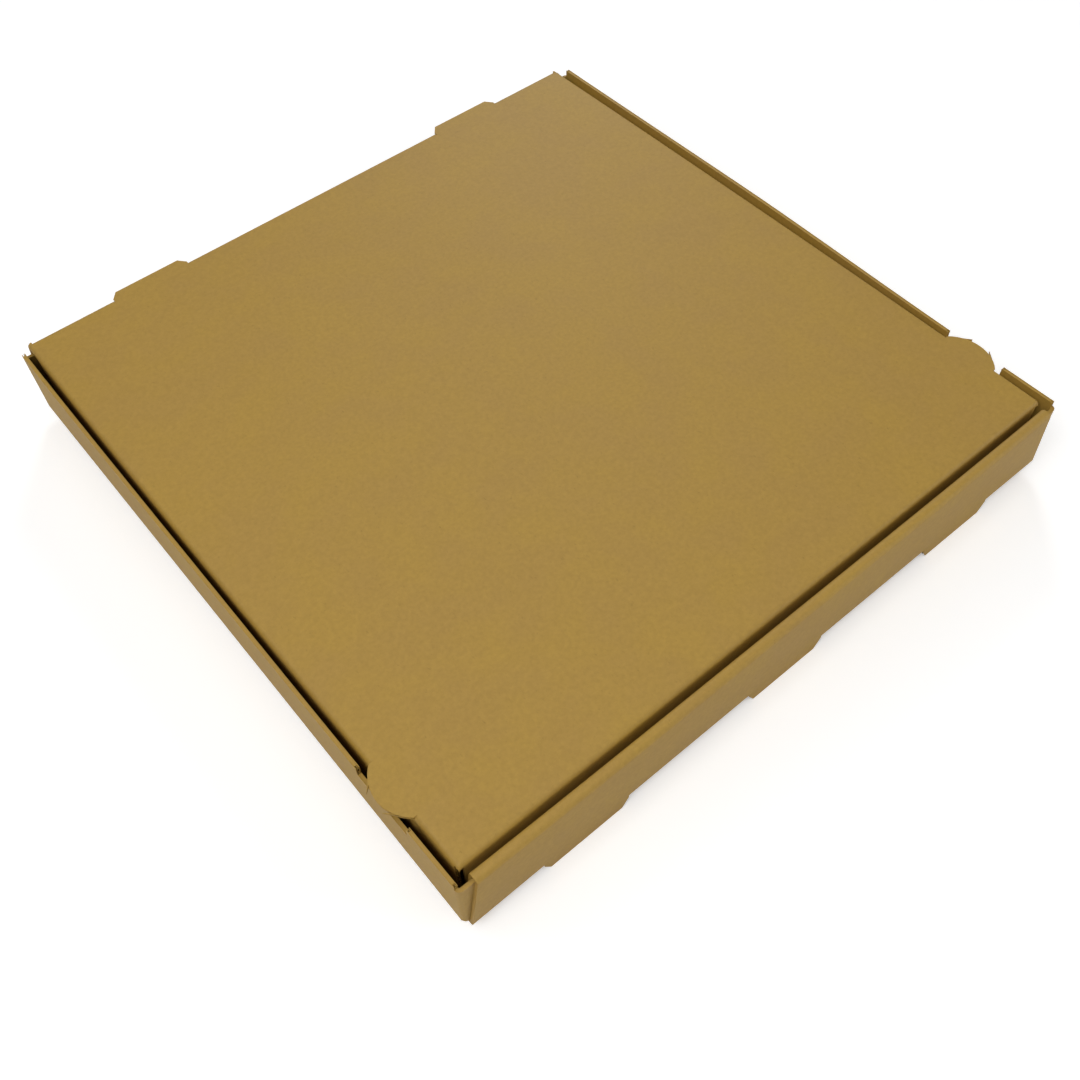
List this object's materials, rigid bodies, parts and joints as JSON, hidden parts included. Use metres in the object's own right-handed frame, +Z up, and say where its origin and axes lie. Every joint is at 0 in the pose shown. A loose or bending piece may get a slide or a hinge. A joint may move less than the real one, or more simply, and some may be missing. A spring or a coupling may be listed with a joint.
{
  "type": "pizza box",
  "caption": "Square pizza box folded from corrugated board, with a hinged tuck-in lid, a roll-over front wall and small front feet.",
  "frame": {"origin": "on the ground below the middle of the closed box, level with the tips of the front feet", "axes": "+X along the front wall, +Y from the front wall to the hinge, +Z up"},
  "size_m": [0.3116, 0.3148, 0.0407],
  "materials": {
    "kraft_board": "matt unbleached kraft"
  },
  "bodies": {
    "tray": {"tray": "kraft_board"},
    "lid": {"lid": "kraft_board"}
  },
  "joints": [
    {"name": "lid_hinge", "type": "hinge", "parent": "tray", "child": "lid", "pos_m": [0, 0.1538, 0.0407], "axis": [-1, 0, 0], "range_deg": [0, 187]}
  ]
}
